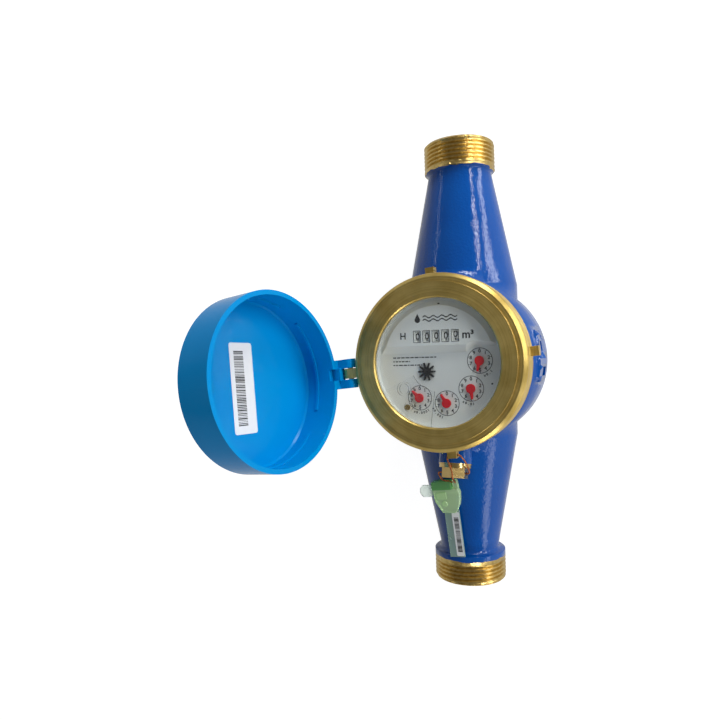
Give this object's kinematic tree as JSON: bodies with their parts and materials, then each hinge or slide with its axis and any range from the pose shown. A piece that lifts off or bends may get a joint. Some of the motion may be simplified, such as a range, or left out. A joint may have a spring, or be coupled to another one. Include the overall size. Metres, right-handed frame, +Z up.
{
  "type": "water meter",
  "caption": "Multi-jet water meter with a painted casting, threaded pipe ends, brass ring nut, geared dial register, hinged lid and a wire seal.",
  "frame": {"origin": "centre of the flat foot under the bowl", "axes": "+Z up out of the dial, +Y along the pipe towards the outlet, +X to the right of the dial"},
  "size_m": [0.1501, 0.26, 0.1872],
  "materials": {
    "body_paint": "gloss paint over a brass casting",
    "brass": "satin turned",
    "copper": "drawn wire",
    "gasket": "matt",
    "clear_window": "clear, polished",
    "clear_plastic": "clear moulded",
    "register_plastic": "moulded",
    "dial_face": "satin print",
    "gear_plastic": "moulded",
    "steel": "bright",
    "plate": "moulded",
    "magnet": "sintered",
    "roller_white": "printed",
    "pointer_red": "moulded",
    "star_black": "moulded",
    "seal_green": "translucent moulded",
    "lid_blue": "gloss moulded",
    "label": "paper label"
  },
  "bodies": {
    "meter": {"body": "body_paint", "ring_nut": "brass", "adjusting_plug": "brass", "cover_screw": "brass", "seal_wire": "copper", "slip_ring": "gasket", "seal_ring": "gasket", "plug_washer": "gasket", "window": "clear_window", "pulse_cover": "clear_plastic", "seal_rotor": "clear_plastic", "register_cup": "register_plastic", "chamber_lower": "register_plastic", "chamber_upper": "register_plastic", "strainer": "register_plastic", "dial_plate": "dial_face", "gear_plate": "steel", "roller_shaft": "steel", "pivot_pin": "steel", "pressure_plate": "plate", "seal_body": "seal_green"},
    "lid": {"lid": "lid_blue", "hinge_pin": "steel", "lid_label": "label"},
    "impeller": {"impeller": "register_plastic", "impeller_magnet": "magnet"},
    "drive": {"drive_magnet": "magnet"},
    "star": {"star_spindle": "gear_plastic", "star": "star_black"},
    "idler_4": {"idler_4": "gear_plastic"},
    "dial_4": {"spindle_4": "gear_plastic", "pointer_4": "pointer_red"},
    "idler_3": {"idler_3": "gear_plastic"},
    "dial_3": {"spindle_3": "gear_plastic", "pointer_3": "pointer_red"},
    "idler_2": {"idler_2": "gear_plastic"},
    "dial_2": {"spindle_2": "gear_plastic", "pointer_2": "pointer_red"},
    "idler_1": {"idler_1": "gear_plastic"},
    "dial_1": {"spindle_1": "gear_plastic", "pointer_1": "pointer_red"},
    "roller_5": {"roller_5": "roller_white"},
    "roller_4": {"roller_4": "roller_white"},
    "roller_3": {"roller_3": "roller_white"},
    "roller_2": {"roller_2": "roller_white"},
    "roller_1": {"roller_1": "roller_white"}
  },
  "joints": [
    {"name": "lid_hinge", "type": "hinge", "parent": "meter", "child": "lid", "pos_m": [-0.05226, -0.00503, 0.09075], "axis": [-0.0958, 0.9954, 0], "range_deg": [0, 100.25]},
    {"name": "impeller_spin", "type": "hinge", "parent": "meter", "child": "impeller", "pos_m": [0, 0, 0.03], "axis": [0, 0, 1], "continuous": true},
    {"name": "drive_spin", "type": "hinge", "parent": "meter", "child": "drive", "pos_m": [0, 0, 0.08], "axis": [0, 0, 1], "continuous": true},
    {"name": "star_spin", "type": "hinge", "parent": "meter", "child": "star", "pos_m": [-0.00686, -0.00471, 0.08], "axis": [0, 0, 1], "continuous": true},
    {"name": "idler_4_spin", "type": "hinge", "parent": "meter", "child": "idler_4", "pos_m": [-0.01203, -0.01123, 0.08], "axis": [0, 0, 1], "continuous": true},
    {"name": "dial_4_spin", "type": "hinge", "parent": "meter", "child": "dial_4", "pos_m": [-0.0113, -0.01888, 0.08], "axis": [0, 0, 1], "continuous": true},
    {"name": "idler_3_spin", "type": "hinge", "parent": "meter", "child": "idler_3", "pos_m": [-0.00384, -0.02257, 0.08], "axis": [0, 0, 1], "continuous": true},
    {"name": "dial_3_spin", "type": "hinge", "parent": "meter", "child": "dial_3", "pos_m": [0.00378, -0.02167, 0.08], "axis": [0, 0, 1], "continuous": true},
    {"name": "idler_2_spin", "type": "hinge", "parent": "meter", "child": "idler_2", "pos_m": [0.01184, -0.0196, 0.08], "axis": [0, 0, 1], "continuous": true},
    {"name": "dial_2_spin", "type": "hinge", "parent": "meter", "child": "dial_2", "pos_m": [0.01702, -0.01393, 0.08], "axis": [0, 0, 1], "continuous": true},
    {"name": "idler_1_spin", "type": "hinge", "parent": "meter", "child": "idler_1", "pos_m": [0.02177, -0.0071, 0.08], "axis": [0, 0, 1], "continuous": true},
    {"name": "dial_1_spin", "type": "hinge", "parent": "meter", "child": "dial_1", "pos_m": [0.02199, 0.00058, 0.08], "axis": [0, 0, 1], "continuous": true},
    {"name": "roller_5_spin", "type": "hinge", "parent": "meter", "child": "roller_5", "pos_m": [0.01, 0.0141, 0.08415], "axis": [1, 0, 0], "continuous": true},
    {"name": "roller_4_spin", "type": "hinge", "parent": "meter", "child": "roller_4", "pos_m": [0.00475, 0.0141, 0.08415], "axis": [1, 0, 0], "continuous": true},
    {"name": "roller_3_spin", "type": "hinge", "parent": "meter", "child": "roller_3", "pos_m": [-0.0005, 0.0141, 0.08415], "axis": [1, 0, 0], "continuous": true},
    {"name": "roller_2_spin", "type": "hinge", "parent": "meter", "child": "roller_2", "pos_m": [-0.00575, 0.0141, 0.08415], "axis": [1, 0, 0], "continuous": true},
    {"name": "roller_1_spin", "type": "hinge", "parent": "meter", "child": "roller_1", "pos_m": [-0.011, 0.0141, 0.08415], "axis": [1, 0, 0], "continuous": true}
  ],
  "couplings": [
    {"joint": "drive_spin", "follows": "impeller_spin", "ratio": 1},
    {"joint": "star_spin", "follows": "impeller_spin", "ratio": -0.3},
    {"joint": "idler_4_spin", "follows": "impeller_spin", "ratio": 0.09},
    {"joint": "dial_4_spin", "follows": "impeller_spin", "ratio": -0.03},
    {"joint": "idler_3_spin", "follows": "impeller_spin", "ratio": 0.009},
    {"joint": "dial_3_spin", "follows": "impeller_spin", "ratio": -0.003},
    {"joint": "idler_2_spin", "follows": "impeller_spin", "ratio": 0.0009},
    {"joint": "dial_2_spin", "follows": "impeller_spin", "ratio": -0.0003},
    {"joint": "idler_1_spin", "follows": "impeller_spin", "ratio": 0.00009},
    {"joint": "dial_1_spin", "follows": "impeller_spin", "ratio": -0.00003},
    {"joint": "roller_5_spin", "follows": "impeller_spin", "ratio": -0.000003},
    {"joint": "roller_4_spin", "follows": "impeller_spin", "ratio": -0.0000003},
    {"joint": "roller_3_spin", "follows": "impeller_spin", "ratio": -0.00000003},
    {"joint": "roller_2_spin", "follows": "impeller_spin", "ratio": -0.000000003},
    {"joint": "roller_1_spin", "follows": "impeller_spin", "ratio": -0.0000000003}
  ]
}
